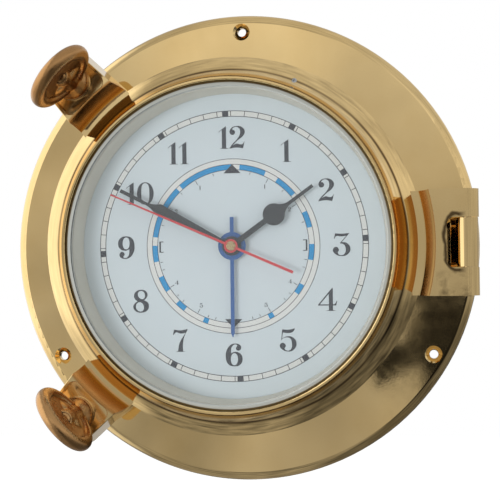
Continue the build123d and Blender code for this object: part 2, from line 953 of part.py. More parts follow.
def second_wheel():
    module = pair(intermediate_pinion_teeth, second_teeth, intermediate_distance)
    pinion_module = pair(second_pinion_teeth, third_teeth, third_distance)
    wheel = toothed(second_teeth, module, second_wheel_place, (0, 0), intermediate_angle)
    pinion = toothed(second_pinion_teeth, pinion_module, second_pinion_place, (0, 0), third_angle, True)
    axle = disc(second_arbor_radius, case_floor - pivot_length, tube_top(second_hand_height))
    return wheel + pinion + axle


def third_wheel():
    module = pair(second_pinion_teeth, third_teeth, third_distance)
    pinion_module = pair(third_pinion_teeth, centre_teeth, third_distance)
    start = gap_angle(third_angle, third_teeth)
    wheel = toothed(third_teeth, module, third_wheel_place, third_at, start)
    pinion_start = gap_angle(third_angle, third_pinion_teeth)
    pinion = toothed(
        third_pinion_teeth, pinion_module, third_pinion_place, third_at, pinion_start, True
    )
    return wheel + pinion + arbor(third_at)


def centre_wheel():
    module = pair(third_pinion_teeth, centre_teeth, third_distance)
    wheel = toothed(centre_teeth, module, centre_wheel_place, (0, 0), third_angle)
    hub = disc(centre_hub_radius, *place_depths(centre_hub_place))
    return wheel + hub - disc(minute_tube_radius + pivot_clearance, *place_depths(centre_hub_place))


def cannon_wheel():
    module = pair(cannon_teeth, motion_teeth, motion_distance)
    pinion = toothed(cannon_teeth, module, cannon_pinion_place, (0, 0), motion_angle, True)
    flange_back, flange_front = place_depths(cannon_flange_place)
    flange = disc(cannon_flange_radius, flange_back, flange_front)
    top = tube_top(minute_hand_height)
    tube = disc(minute_tube_radius, flange_back, top)
    return pinion + flange + tube - disc(second_arbor_radius + tube_gap, flange_back, top)


def motion_wheel():
    module = pair(cannon_teeth, motion_teeth, motion_distance)
    pinion_module = pair(motion_pinion_teeth, hour_teeth, motion_distance)
    start = gap_angle(motion_angle, motion_teeth)
    wheel = toothed(motion_teeth, module, motion_wheel_place, motion_at, start)
    pinion_start = gap_angle(motion_angle, motion_pinion_teeth)
    pinion = toothed(
        motion_pinion_teeth, pinion_module, motion_pinion_place, motion_at, pinion_start, True
    )
    front = cover_back - arbor_end_gap
    knob_front = case_back - knob_case_gap
    pivot = disc(pivot_radius, front, front + pivot_length + arbor_end_gap, motion_at)
    axle = disc(arbor_radius, knob_front - knob_length + knob_arbor_end, front, motion_at)
    return wheel + pinion + axle + pivot


def hour_wheel():
    module = pair(motion_pinion_teeth, hour_teeth, motion_distance)
    drive_module = pair(tide_drive_teeth, idler_teeth, idler_distance)
    wheel = toothed(hour_teeth, module, hour_wheel_place, (0, 0), motion_angle)
    drive = toothed(tide_drive_teeth, drive_module, tide_drive_place, (0, 0), idler_angle)
    back = place_depths(hour_wheel_place)[0]
    top = tube_top(hour_hand_height)
    tube = disc(hour_tube_radius, back, top)
    return wheel + drive + tube - disc(minute_tube_radius + tube_gap, back, top)


def tide_idler():
    drive_module = pair(tide_drive_teeth, idler_teeth, idler_distance)
    tide_module = pair(tide_teeth, idler_teeth, idler_distance)
    start = gap_angle(idler_angle, idler_teeth)
    drive = toothed(idler_teeth, drive_module, idler_drive_place, idler_at, start, True)
    tide = toothed(idler_teeth, tide_module, idler_tide_place, idler_at, start, True)
    return drive + tide + arbor(idler_at)


def tide_wheel():
    module = pair(tide_teeth, idler_teeth, idler_distance)
    wheel = toothed(tide_teeth, module, tide_wheel_place, (0, 0), idler_angle)
    back = place_depths(tide_wheel_place)[0]
    top = tube_top(tide_hand_height)
    tube = disc(tide_tube_radius, back, top)
    return wheel + tube - disc(hour_tube_radius + tube_gap, back, top)


def intermediate_wheel():
    module = pair(rotor_pinion_teeth, intermediate_teeth, rotor_distance)
    pinion_module = pair(intermediate_pinion_teeth, second_teeth, intermediate_distance)
    wheel = toothed(
        intermediate_teeth, module, intermediate_wheel_place, intermediate_at, rotor_angle
    )
    start = gap_angle(intermediate_angle, intermediate_pinion_teeth)
    pinion = toothed(
        intermediate_pinion_teeth,
        pinion_module,
        intermediate_pinion_place,
        intermediate_at,
        start,
        True,
    )
    return wheel + pinion + arbor(intermediate_at)


def rotor_arbor():
    module = pair(rotor_pinion_teeth, intermediate_teeth, rotor_distance)
    start = gap_angle(rotor_angle, rotor_pinion_teeth)
    pinion = toothed(rotor_pinion_teeth, module, rotor_pinion_place, rotor_at, start, True)
    return pinion + arbor(rotor_at)


def rotor_magnet():
    return ring(magnet_radius, arbor_radius, *place_depths(magnet_place), rotor_at)


# Movement: case, battery and electric parts

def box_plan(back, front):
    block = slab(-case_half_width, case_half_width, case_bottom, case_top, back, front)
    return fillet(block.edges().filter_by(Axis.Z), case_corner)


def post(at, front):
    return disc(post_radius, case_floor, front, at)


def posts():
    stator_back = case_floor + stator_place[0]
    bar_middle = (stator_bar_bottom + stator_bar_top) / 2
    stator_ends = [
        (stator_left + stator_post_inset, bar_middle),
        (stator_right - stator_post_inset, bar_middle),
    ]
    board_back = case_floor + board_place[0]
    right = board_right - board_post_inset
    top = case_top - case_wall - board_post_inset
    board_corners = [
        (right, board_bottom + board_post_inset),
        (right, top),
        (board_left + board_post_inset, top),
    ]
    whole = Part()
    for at in stator_ends:
        whole += post(at, stator_back)
    for at in board_corners:
        whole += post(at, board_back)
    return whole


def latch_window():
    """The window in the left wall, where a moulded latch is pressed to open the case."""
    left = -case_half_width
    back = case_floor + latch_window_rise
    top = latch_window_low + latch_window_height
    return slab(left - cut_over, left + case_wall + cut_over, latch_window_low, top,
                back, back + latch_window_depth)


def movement_case():
    half = case_half_width - case_wall
    cavity = slab(-half, half, cavity_bottom, case_top - case_wall, case_floor, cover_back)
    bay_top, bay_low = cavity_bottom - case_wall, case_bottom + bay_wall
    bay_front = case_back + bay_depth
    bay = slab(-half, half, bay_low, bay_top, case_back, bay_front)
    body = box_plan(case_back, cover_back) - cavity - bay - latch_window() + posts()
    hole_floor = case_floor - pivot_hole_length
    for at in pivot_places:
        body -= disc(pivot_radius + pivot_clearance, hole_floor, case_floor, at)
    body -= disc(second_arbor_radius + pivot_clearance, hole_floor, case_floor)
    hole = arbor_radius + pivot_clearance
    return body - disc(hole, case_back - cut_over, case_floor + cut_over, motion_at)


def movement_cover():
    cover = box_plan(cover_back, cover_front)
    cover -= disc(centre_bush_radius, cover_back, cover_front)
    for at in pivot_places + [motion_at]:
        cover -= disc(pivot_radius + pivot_clearance, cover_back, cover_back + pivot_hole_length, at)
    return cover


def movement_gasket():
    return ring(gasket_radius, bush_shoulder_radius, cover_front, dial_back)


def centre_bush():
    top = dial_face + centre_bush_proud
    bush = disc(centre_bush_radius, cover_back, top)
    bush += disc(bush_shoulder_radius, cover_front, cover_front + bush_shoulder_thickness)
    return bush - disc(tide_tube_radius + tube_gap, cover_back, top)


def centre_nut():
    plan = RegularPolygon(centre_nut_flats / 2, 6, major_radius=False) - Circle(centre_bush_radius)
    return extrude(Pos(0, 0, dial_face) * plan, amount=centre_nut_thickness)


def bay_line():
    """The middle of the battery bay, up and in depth."""
    low, high = case_bottom + bay_wall, cavity_bottom - case_wall
    return (low + high) / 2, case_back + bay_depth - battery_gap - battery_radius


def lying(radius, left, right):
    """A round bar along the battery bay."""
    y, depth = bay_line()
    return Pos(left, y, depth) * Rot(0, 90, 0) * Cylinder(radius, right - left, align=BOTTOM)


def battery_left():
    bay_left = -(case_half_width - case_wall)
    return bay_left + contact_thickness + negative_dimple + battery_gap


def battery():
    left = battery_left()
    right = left + battery_length
    return lying(battery_radius, left, right) + lying(battery_nub_radius, right, right + battery_nub)


def contact_plate(left, right):
    y, depth = bay_line()
    half = contact_width / 2
    return slab(left, right, y - half, y + half, depth - half, depth + half)


def contact_negative():
    left = -(case_half_width - case_wall)
    front = left + contact_thickness
    return contact_plate(left, front) + lying(contact_dimple_radius, front, front + negative_dimple)


def contact_positive():
    right = case_half_width - case_wall
    front = right - contact_thickness
    tip = battery_left() + battery_length + battery_nub + battery_gap
    return contact_plate(front, right) + lying(contact_dimple_radius, tip, front)


def stator():
    back, front = place_depths(stator_place)
    plate = slab(stator_left, stator_rotor_edge, stator_bottom, stator_bar_top, back, front)
    plate += slab(stator_left, stator_right, stator_bar_bottom, stator_bar_top, back, front)
    return plate - disc(stator_hole_radius, back, front, rotor_at)


def coil_bar(radius, left, right):
    back, front = place_depths(stator_place)
    at = Pos(left, (stator_bar_bottom + stator_bar_top) / 2, (back + front) / 2)
    return at * Rot(0, 90, 0) * Cylinder(radius, right - left, align=BOTTOM)


def coil_bobbin():
    bobbin = coil_bar(coil_core_radius, coil_left, coil_right)
    bobbin += coil_bar(coil_flange_radius, coil_left, coil_left + coil_flange_thickness)
    bobbin += coil_bar(coil_flange_radius, coil_right - coil_flange_thickness, coil_right)
    back, front = place_depths(stator_place)
    low, high = stator_bar_bottom - coil_bar_gap, stator_bar_top + coil_bar_gap
    left, right = coil_left - cut_over, coil_right + cut_over
    return bobbin - slab(left, right, low, high, back - coil_bar_gap, front + coil_bar_gap)


def coil_winding():
    left, right = coil_left + coil_flange_thickness, coil_right - coil_flange_thickness
    winding = coil_bar(coil_winding_radius, left, right)
    return winding - coil_bar(coil_core_radius, left, right)


def circuit_board():
    back, front = place_depths(board_place)
    return slab(board_left, board_right, board_bottom, board_top, back, front)


def driver_chip():
    front = case_floor + board_place[1]
    half = chip_side / 2
    return slab(chip_x - half, chip_x + half, chip_y - half, chip_y + half, front, front + chip_height)


def quartz_crystal():
    front = case_floor + board_place[1]
    at = Pos(crystal_x, crystal_y, front + crystal_radius)
    return at * Rot(0, 90, 0) * Cylinder(crystal_radius, crystal_length, align=BOTTOM)


def setting_knob():
    front = case_back - knob_case_gap
    back = front - knob_length
    knob = disc(knob_radius, back, front)
    for index in range(knob_flutes):
        at = dial_point(knob_radius, index * 360 / knob_flutes)
        knob -= disc(knob_flute_radius, back, front, at)
    knob -= disc(arbor_radius, back + knob_arbor_end, front)
    return Pos(motion_at[0], motion_at[1], 0) * knob


os.makedirs("parts", exist_ok=True)

save("base_casting", base_casting())
save("boss_bushes", *[boss_bush(place) for place in bolt_places])
save("hinge_pin", hinge_pin())
save("rim_seal", rim_seal())
save("dial_plate", dial_plate())
save("dial_screws", *[dial_screw(index) for index in range(dial_screw_count)])

save("door_casting", door_casting())
save("bezel_screw", bezel_screw())
save("glass", glass())
save("glass_seal", glass_seal())
save("surround", surround())
save("surround_screws", *[surround_screw(index) for index in range(surround_screw_count)])
save("seat_washers", *[seat_washer(place) for place in bolt_places])

for side, place, turn in zip(("upper", "lower"), bolt_places, paddle_turns):
    save("retaining_ring_" + side, retaining_ring(place))
    save("thumb_stud_" + side, stud(place))
    save("thumb_nut_" + side, thumb_nut(place, turn))

save("tide_hand", tide_hand())
save("hour_hand", hour_hand())
save("minute_hand", minute_hand())
save("second_hand", second_hand())
save("centre_cap", centre_cap())

save("second_wheel", second_wheel())
save("third_wheel", third_wheel())
save("centre_wheel", centre_wheel())
save("cannon_wheel", cannon_wheel())
save("motion_wheel", motion_wheel())
save("hour_wheel", hour_wheel())
save("tide_idler", tide_idler())
save("tide_wheel", tide_wheel())
save("intermediate_wheel", intermediate_wheel())
save("rotor_arbor", rotor_arbor())
save("rotor_magnet", rotor_magnet())

save("movement_case", movement_case())
save("movement_cover", movement_cover())
save("movement_gasket", movement_gasket())
save("centre_bush", centre_bush())
save("centre_nut", centre_nut())
save("battery", battery())
save("contact_negative", contact_negative())
save("contact_positive", contact_positive())
save("stator", stator())
save("coil_bobbin", coil_bobbin())
save("coil_winding", coil_winding())
save("circuit_board", circuit_board())
save("driver_chip", driver_chip())
save("quartz_crystal", quartz_crystal())
save("setting_knob", setting_knob())
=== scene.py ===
import json
import math

import bpy
from mathutils import Matrix, Vector


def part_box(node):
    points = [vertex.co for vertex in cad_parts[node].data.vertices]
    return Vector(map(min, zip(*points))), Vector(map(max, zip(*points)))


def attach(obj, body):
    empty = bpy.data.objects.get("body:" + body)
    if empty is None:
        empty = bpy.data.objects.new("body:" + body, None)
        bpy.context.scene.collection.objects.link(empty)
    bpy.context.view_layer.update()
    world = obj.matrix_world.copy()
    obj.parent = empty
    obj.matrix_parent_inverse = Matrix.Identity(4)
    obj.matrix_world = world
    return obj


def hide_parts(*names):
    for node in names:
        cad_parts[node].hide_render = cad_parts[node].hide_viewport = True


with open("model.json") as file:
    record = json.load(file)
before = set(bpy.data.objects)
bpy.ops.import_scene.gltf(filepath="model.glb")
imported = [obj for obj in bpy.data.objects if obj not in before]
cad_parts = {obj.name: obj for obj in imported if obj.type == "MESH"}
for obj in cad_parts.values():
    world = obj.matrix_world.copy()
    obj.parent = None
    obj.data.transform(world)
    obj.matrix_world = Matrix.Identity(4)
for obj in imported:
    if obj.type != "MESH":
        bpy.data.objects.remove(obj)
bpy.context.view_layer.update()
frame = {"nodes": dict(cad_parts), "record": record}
nodes = frame["nodes"]
bpy.ops.object.select_all(action="DESELECT")

MM = 0.001
scene = bpy.context.scene

# The dial's face. The clock faces -Y, and the wall is at y = 0.
dial_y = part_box("dial_plate")[0].y

# The dial's print: distances from its centre, and angles in degrees, clockwise from 12 o'clock
PRINT_LIFT = 0.02 * MM
PRINT_THICKNESS = 0.05 * MM
ARC_STEP = 1.5
TRACK_OUTER, TRACK_INNER = 59.4 * MM, 57.0 * MM
TRACK_LINE = 0.3 * MM
BLOCK_WIDTH = 2.65 * MM
NUMERAL_HEIGHT = 9.8 * MM
NUMERAL_RADIUS = 47.7 * MM
NUMERAL_GAP = 5
SCALE_OUTER, SCALE_MIDDLE, SCALE_INNER = 38.3 * MM, 35.9 * MM, 33.55 * MM
SCALE_LINE = 0.25 * MM
MARK_OUTER = 33.1 * MM
SHORT_MARK, LONG_MARK = 1.1 * MM, 1.9 * MM
TIDE_HOUR = 29.0
SMALL_FIGURE = 1.9 * MM
SMALL_RADIUS = 29.6 * MM
POINTER_HALF = 3.8 * MM
POINTER_BASE = 32.0 * MM
BRACKET_HEIGHT, BRACKET_WIDTH, BRACKET_LINE = 4.9 * MM, 1.9 * MM, 0.7 * MM
BRACKET_INSET = 0.3 * MM
DASHES = (
    (0.0, 20.5), (24.7, 43.9), (50.6, 66.7), (77.2, 89.0), (100.7, 112.1), (126.9, 134.4),
    (153.5, 157.4),
)
HIGH_TIDE_MARKS, LOW_TIDE_MARKS = (1, 2, 3, 4, 5, 7, 9, 11), (1, 2, 3, 4, 5)

# Outlines are drawn 100 high, so at this height their unit is a millimetre
OUTLINE_IN_MM = 100 * MM

# Figures with thick and thin strokes, drawn 100 high: width, then closed outlines.
# A point with a wave after it is passed smoothly, and the others are corners.
FIGURES = {
    "0": (77, ["0,50~ 38,101~ 77,50~ 38,-1~", "20,50~ 38,97~ 57,50~ 38,3~"]),
    "1": (45, ["0,76 20,91~ 33,100 35,100 35,5 38,2.5~ 45,2 45,0 8,0 8,2 14,2.5~ 16,5 16,84 10,81~ 2,73"]),
    "2": (70, ["0,0 0,2 12,19~ 34,41~ 46,60~ 49,76~ 43,92~ 31,97~ 18,93~ 12,86 19,84~ 26,73~ 15,61~ 2,70~ "
               "8,91~ 33,101~ 60,94~ 70,75~ 60,54~ 38,37~ 15,14 33,22~ 50,18~ 60,20~ 67,31 69,31 61,0 "
               "40,4~ 18,3~ 3,0"]),
    "3": (78, ["5,76 11,100 40,98~ 75,101 40,61 62,57~ 78,32~ 66,7~ 38,-1~ 10,9~ 0,27~ 14,40~ 27,27~ "
               "22,12~ 38,3~ 52,10~ 57,31~ 50,49~ 31,56 60,89 35,86~ 15,87~ 8,76"]),
    "4": (85, ["62,101 66,101 66,29 73,30~ 83,44 85,43 80,24 66,24 66,5 69,2.5~ 77,2 77,0 37,0 37,2 "
               "45,2.5~ 48,5 48,24 0,24 0,28", "48,29 48,76 8,29"]),
    "5": (75, ["12,98 40,96~ 67,102 69,100 58,86~ 36,81~ 15,84 10,57 34,67~ 62,60~ 75,35~ 62,7~ 36,-1~ "
               "10,9~ 0,26~ 13,38~ 27,26~ 22,11~ 36,3~ 50,10~ 54,36~ 48,56~ 32,62~ 14,57~ 6,48"]),
    "6": (76, ["44,101~ 64,95~ 70,82~ 58,69~ 46,80~ 52,92~ 44,97~ 28,86~ 24,58 42,64~ 66,56~ 76,32~ "
               "64,6~ 39,-1~ 12,8~ 0,42~ 8,78~ 26,97~", "39,58~ 55,31~ 38,4~ 23,31~"]),
    "7": (67, ["0,77 5,100 32,96~ 66,102 67,99 51,66~ 45,34~ 45,4 47,2~ 53,2 53,0 16,0 16,2 21,3~ 23,6 "
               "30,40~ 58,85 34,82~ 14,87~ 3,76"]),
    "8": (72, ["36,102~ 58,96~ 66,80~ 60,64~ 50,55 66,45~ 72,27~ 62,7~ 36,-1~ 10,6~ 0,24~ 7,41~ 20,50 "
               "8,61~ 4,77~ 14,95~", "37,97~ 54,79~ 44,60~ 21,82~", "29,46~ 49,20~ 34,4~ 12,24~"]),
}


# Materials: a socket that takes part in sums, and a paint that adds nodes

class Wire:
    """A node's output that takes part in sums, also after a number. Each sum adds a node."""

    def __init__(self, paint, socket):
        self.paint, self.socket = paint, socket

    def __add__(self, other):
        return self.paint.maths("ADD", self, other)

    def __mul__(self, other):
        return self.paint.maths("MULTIPLY", self, other)

    def __sub__(self, other):
        return self.paint.maths("SUBTRACT", self, other)

    def __rsub__(self, other):
        return self.paint.maths("SUBTRACT", other, self)

    __radd__, __rmul__ = __add__, __mul__


class Paint:
    """A material's or the world's nodes. node() adds one with its settings and feeds its sockets."""

    def __init__(self, owner):
        self.owner = owner
        owner.use_nodes = True
        self.tree = owner.node_tree
        self.tree.nodes.clear()

    def node(self, kind, settings=None, inputs=None, output=0):
        made = self.tree.nodes.new("ShaderNode" + kind)
        for key, value in (settings or {}).items():
            setattr(made, key, value)
        for key, value in (inputs or {}).items():
            if isinstance(value, Wire):
                self.tree.links.new(value.socket, made.inputs[key])
            else:
                made.inputs[key].default_value = value
        return Wire(self, made.outputs[output]) if made.outputs else None

    def maths(self, operation, first, second=0.0):
        return self.node("Math", {"operation": operation}, {0: first, 1: second})

    def ray(self, kind):
        """1 for rays of one kind, such as Camera or Glossy, and 0 for the others."""
        return self.node("LightPath", output=f"Is {kind} Ray")

    def place(self):
        return self.node("TexCoord", output="Object")

    def noise(self, scale, detail=3.0, place=None):
        inputs = {"Vector": place or self.place(), "Scale": scale, "Detail": detail}
        return self.node("TexNoise", None, inputs)

    def span(self, value, low, high, to_low=0.0, to_high=1.0):
        return self.node("MapRange", None, {0: value, 1: low, 2: high, 3: to_low, 4: to_high})

    def between(self, value, rise_from, rise_to, fall_from, fall_to):
        """1 between two limits and 0 outside them, with a soft edge at each."""
        return self.span(value, rise_from, rise_to) * self.span(value, fall_from, fall_to, 1.0, 0.0)

    def mix(self, factor, first, second):
        return self.node("Mix", {"data_type": "RGBA"}, {0: factor, 6: first, 7: second}, 2)

    def from_axis(self):
        """How far a point is from the clock's axis, in metres."""
        flat = self.node("VectorMath", {"operation": "MULTIPLY"}, {0: self.place(), 1: (1, 0, 1)})
        return self.node("VectorMath", {"operation": "LENGTH"}, {0: flat}, "Value")

    def parts(self, place=None):
        """The parts of a point in metres, or of a direction: to the right, to the back and up."""
        split = self.node("SeparateXYZ", None, {0: place or self.place()}).socket.node
        return [Wire(self, socket) for socket in split.outputs]

    def depth(self):
        """How far a point stands from the wall, in metres."""
        return self.parts()[1] * -1.0

    def bump(self, height, strength, distance):
        return self.node("Bump", None, {"Height": height, "Strength": strength, "Distance": distance})

    def surface(self, **sockets):
        names = {key.replace("_", " "): value for key, value in sockets.items()}
        shader = self.node("BsdfPrincipled", None, names)
        self.node("OutputMaterial", None, {"Surface": shader})
        return self.owner


def rgb(red, green, blue):
    """A colour given as it shows on a screen, from 0 to 255."""
    shares = (red / 255, green / 255, blue / 255)
    return tuple(s / 12.92 if s <= 0.04045 else ((s + 0.055) / 1.055) ** 2.4 for s in shares) + (1.0,)


# Noise scales are per metre, and a relief is how deep the grain goes
CLOUD_SCALE, HAZE_SCALE = 22.0, 170.0
BRASS_RELIEF, MOULDED_RELIEF = 0.3 * MM, 0.1 * MM
POLISHED, POLISHED_AGED = rgb(235, 205, 147), rgb(214, 178, 112)
POLISHED_GRAIN = 900.0


def worn(paint, clean, aged, ageing, rough, rougher):
    """Slow clouds of ageing, their colour, and the roughness from them and from a haze of polishing."""
    clouds = paint.noise(CLOUD_SCALE, 4.0)
    haze = paint.noise(HAZE_SCALE, 2.0)
    colour = paint.mix(paint.span(clouds, 0.4, 0.75, 0.0, ageing), clean, aged)
    spread = paint.span(clouds * 0.5 + haze * 0.5, 0.38, 0.66, rough, rougher)
    return clouds, colour, spread


def brass(name, clean, aged, ageing, rough, grain, grain_depth, fingered=0.08):
    """Worn brass with the fine grain of its making. Fingered is how much rougher the haze makes it."""
    paint = Paint(bpy.data.materials.new(name))
    _, colour, spread = worn(paint, clean, aged, ageing, rough, rough + fingered)
    relief = paint.bump(paint.noise(grain, 2.0), grain_depth, BRASS_RELIEF)
    return paint.surface(Base_Color=colour, Metallic=1.0, Roughness=spread, Normal=relief)


def moulded(name, colour, second, rough, grain=1500.0, grain_depth=0.05, metal=0.0, coat=0.0):
    """Plastic, rubber, enamel or ink: a slight mottle of tone and a fine grain."""
    paint = Paint(bpy.data.materials.new(name))
    mottle = paint.span(paint.noise(70.0), 0.35, 0.7)
    grains = paint.noise(grain, 2.0)
    return paint.surface(
        Base_Color=paint.mix(mottle * 0.6, colour, second),
        Roughness=paint.span(grains, 0.3, 0.7, rough * 0.9, rough * 1.1),
        Metallic=metal,
        Coat_Weight=coat,
        Normal=paint.bump(grains, grain_depth, MOULDED_RELIEF),
    )


# Where the door's brass and its glass change tone, in metres. The distances of a ring or a line are
# where it starts to show, shows in full, starts to fade and is gone. Depths are from the wall.
STEP_RING, STEP_DEPTHS = (0.0834, 0.0842, 0.0868, 0.0878), (0.0445, 0.0465)
VALLEY_RING = (0.0758, 0.0764, 0.0767, 0.0773)
NOTCH_HALF_HEIGHT, NOTCH_SIDE = 0.0065, 0.0974
NOTCH_LINE, NOTCH_LINE_END = (0.0042, 0.0050, 0.0056, 0.0066), (0.098, 0.101)
NOTCH_WAVE = 0.004
ARM_ROOT, ARM_FACE_DEPTHS = (0.088, 0.0885), (0.0593, 0.0597)
ARM_LOWER_HALF = (-0.016, -0.011)
BEVEL_START, GLASS_EDGE = (0.0680, 0.0684), (0.0695, 0.0699)
TARNISH_SCALE = 150.0
# The steps' orange is a painted reflection of brass mirrored in brass, and the valley's dark is painted
# shade
STEP_REFLECTION_ORANGE, VALLEY_SHADE, TARNISH = rgb(184, 116, 36), rgb(92, 66, 34), rgb(66, 48, 28)


def arm_patina(paint, depth):
    """Dark tarnish in a soft wavy line round the arm's notch, and faint clouds on the arm's lower half."""
    across, _, up = paint.parts()
    wave = (paint.noise(TARNISH_SCALE, 2.0) - 0.5) * NOTCH_WAVE
    beyond = paint.maths("MAXIMUM", paint.maths("ABSOLUTE", up) - NOTCH_HALF_HEIGHT)
    beside = paint.maths("MAXIMUM", NOTCH_SIDE - across)
    away = paint.maths("SQRT", beyond * beyond + beside * beside) + wave
    line = paint.between(away, *NOTCH_LINE) * paint.span(across, *NOTCH_LINE_END, 1.0, 0.0)
    clouds = paint.span(paint.noise(TARNISH_SCALE), 0.45, 0.65) * paint.span(up, *ARM_LOWER_HALF, 1.0, 0.0)
    on_arm = paint.span(depth, *ARM_FACE_DEPTHS) * paint.span(across, *ARM_ROOT)
    return paint.maths("MAXIMUM", line * 0.9, clouds * 0.6) * on_arm


def door_brass():
    """Polished brass with painted light: a painted reflection in orange on the steps of the lugs and the
    arm, and painted shade in the ring's valley.
    """
    paint = Paint(bpy.data.materials.new("door_brass"))
    clouds, colour, spread = worn(paint, POLISHED, POLISHED_AGED, 0.35, 0.05, 0.12)
    away, depth = paint.from_axis(), paint.depth()
    # Painted reflection: deep orange where the steps mirror the brass round them
    step = paint.between(away, *STEP_RING) * paint.span(depth, *STEP_DEPTHS)
    # Painted shade along the ring's valley, patchy with the clouds
    valley = paint.between(away, *VALLEY_RING) * paint.span(clouds, 0.35, 0.6, 0.6, 0.95)
    colour = paint.mix(step * 0.75, colour, STEP_REFLECTION_ORANGE)
    colour = paint.mix(valley, colour, VALLEY_SHADE)
    colour = paint.mix(arm_patina(paint, depth), colour, TARNISH)
    relief = paint.bump(paint.noise(POLISHED_GRAIN, 2.0), 0.01, BRASS_RELIEF)
    return paint.surface(Base_Color=colour, Metallic=1.0, Roughness=spread + step * 0.12, Normal=relief)


def clear_glass():
    """Glass whose bevelled border has a painted reflection that shows it paler than its flat, and a dark
    line at its edge.
    """
    paint = Paint(bpy.data.materials.new("clear_glass"))
    away = paint.from_axis()
    bevel_sheen, edge = paint.span(away, *BEVEL_START), paint.span(away, *GLASS_EDGE)
    # Painted reflection: the bevel shows paler and less clear than the flat
    tint = paint.mix(bevel_sheen, rgb(235, 244, 244), rgb(228, 232, 226))
    return paint.surface(
        Base_Color=paint.mix(edge, tint, rgb(96, 80, 52)),
        Roughness=paint.span(paint.noise(30.0, 2.0), 0.3, 0.7, 0.02, 0.05),
        Alpha=paint.span(bevel_sheen, 0.0, 1.0, 0.05, 0.66) + edge * 0.2,
    )


FINISHES = {
    "polished_brass": brass(
        "polished_brass", POLISHED, POLISHED_AGED, 0.5, 0.035, POLISHED_GRAIN, 0.006, 0.05),
    "cast_brass": brass("cast_brass", rgb(204, 160, 108), rgb(152, 108, 62), 0.8, 0.24, 420.0, 0.3),
    "turned_brass": brass("turned_brass", rgb(226, 198, 148), rgb(196, 160, 104), 0.4, 0.16, 700.0, 0.1),
    "clear_glass": clear_glass(),
    "ivory_plastic": moulded("ivory_plastic", rgb(214, 210, 196), rgb(204, 199, 182), 0.5),
    "dial_white": moulded("dial_white", rgb(208, 219, 224), rgb(204, 216, 222), 0.45, coat=0.1),
    "blue_enamel": moulded("blue_enamel", rgb(22, 86, 156), rgb(16, 74, 142), 0.3, coat=0.4),
    "black_enamel": moulded("black_enamel", rgb(40, 40, 46), rgb(32, 32, 38), 0.4, coat=0.3),
    "red_enamel": moulded("red_enamel", rgb(206, 52, 58), rgb(190, 44, 56), 0.3, coat=0.4),
    "black_rubber": moulded("black_rubber", rgb(44, 42, 40), rgb(34, 33, 31), 0.75, 500.0, 0.2),
    "screw_steel": moulded("screw_steel", rgb(196, 198, 200), rgb(170, 172, 176), 0.28, metal=1.0),
    "contact_steel": moulded("contact_steel", rgb(204, 200, 190), rgb(184, 180, 172), 0.22, metal=1.0),
    "magnet": moulded("magnet", rgb(74, 76, 80), rgb(60, 61, 66), 0.5, metal=0.6),
    "copper_wire": moulded("copper_wire", rgb(196, 104, 62), rgb(160, 78, 44), 0.3, metal=0.9),
    "green_board": moulded("green_board", rgb(38, 98, 62), rgb(28, 84, 52), 0.45),
    "black_plastic": moulded("black_plastic", rgb(46, 46, 48), rgb(38, 38, 40), 0.5, 700.0, 0.12),
    "white_plastic": moulded("white_plastic", rgb(226, 226, 220), rgb(216, 216, 208), 0.45),
    "red_plastic": moulded("red_plastic", rgb(188, 50, 42), rgb(170, 42, 36), 0.45),
    "battery_can": moulded("battery_can", rgb(60, 66, 78), rgb(50, 54, 66), 0.3, metal=0.5),
}
INK = moulded("dial_ink", rgb(46, 47, 58), rgb(40, 41, 52), 0.5)
BLUE_INK = moulded("dial_blue", rgb(0, 146, 208), rgb(0, 138, 200), 0.45)
CREAM_INK = moulded("dial_cream", rgb(222, 224, 222), rgb(218, 220, 216), 0.45)


def dress_frame():
    """Gives each CAD node the finish of its slot. The door and the studs have finishes of their own."""
    for part in frame["record"]["subparts"]:
        node = nodes[part["node"]]
        node.data.materials.clear()
        node.data.materials.append(FINISHES[part["material_slot"]])
    nodes["door_casting"].data.materials[0] = door_brass()
    for side in ("upper", "lower"):
        nodes["thumb_stud_" + side].data.materials[0] = FINISHES["cast_brass"]


# Modelling helpers

def pick(*pieces):
    """Selects these pieces alone, with the first one active."""
    bpy.ops.object.select_all(action="DESELECT")
    for piece in pieces:
        piece.select_set(True)
    bpy.context.view_layer.objects.active = pieces[0]


def bake():
    """Puts the selected piece's place, turn and size into its mesh."""
    bpy.ops.object.transform_apply(location=True, rotation=True, scale=True)


def settle(piece, name, body, finish):
    """Bakes a finished piece, names it and lets it ride on its body."""
    pick(piece)
    bake()
    piece.name = piece.data.name = name
    piece.data.materials.clear()
    piece.data.materials.append(finish)
    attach(piece, body)
    return piece


def modify(piece, kind, **settings):
    bpy.context.view_layer.objects.active = piece
    modifier = piece.modifiers.new(kind, kind)
    for key, value in settings.items():
        setattr(modifier, key, value)
    bpy.ops.object.modifier_apply(modifier=modifier.name)


def shade(piece, angle=40):
    pick(piece)
    bpy.ops.object.shade_smooth_by_angle(angle=math.radians(angle))


def join(pieces):
    pick(*pieces)
    bpy.ops.object.join()
    return bpy.context.object


def merge(piece):
    """Closes a mesh's seams and turns its faces outwards."""
    pick(piece)
    bpy.ops.object.mode_set(mode="EDIT")
    bpy.ops.mesh.select_all(action="SELECT")
    bpy.ops.mesh.remove_doubles(threshold=0.001 * MM)
    bpy.ops.mesh.normals_make_consistent(inside=False)
    bpy.ops.object.mode_set(mode="OBJECT")
    return piece


# The dial's print

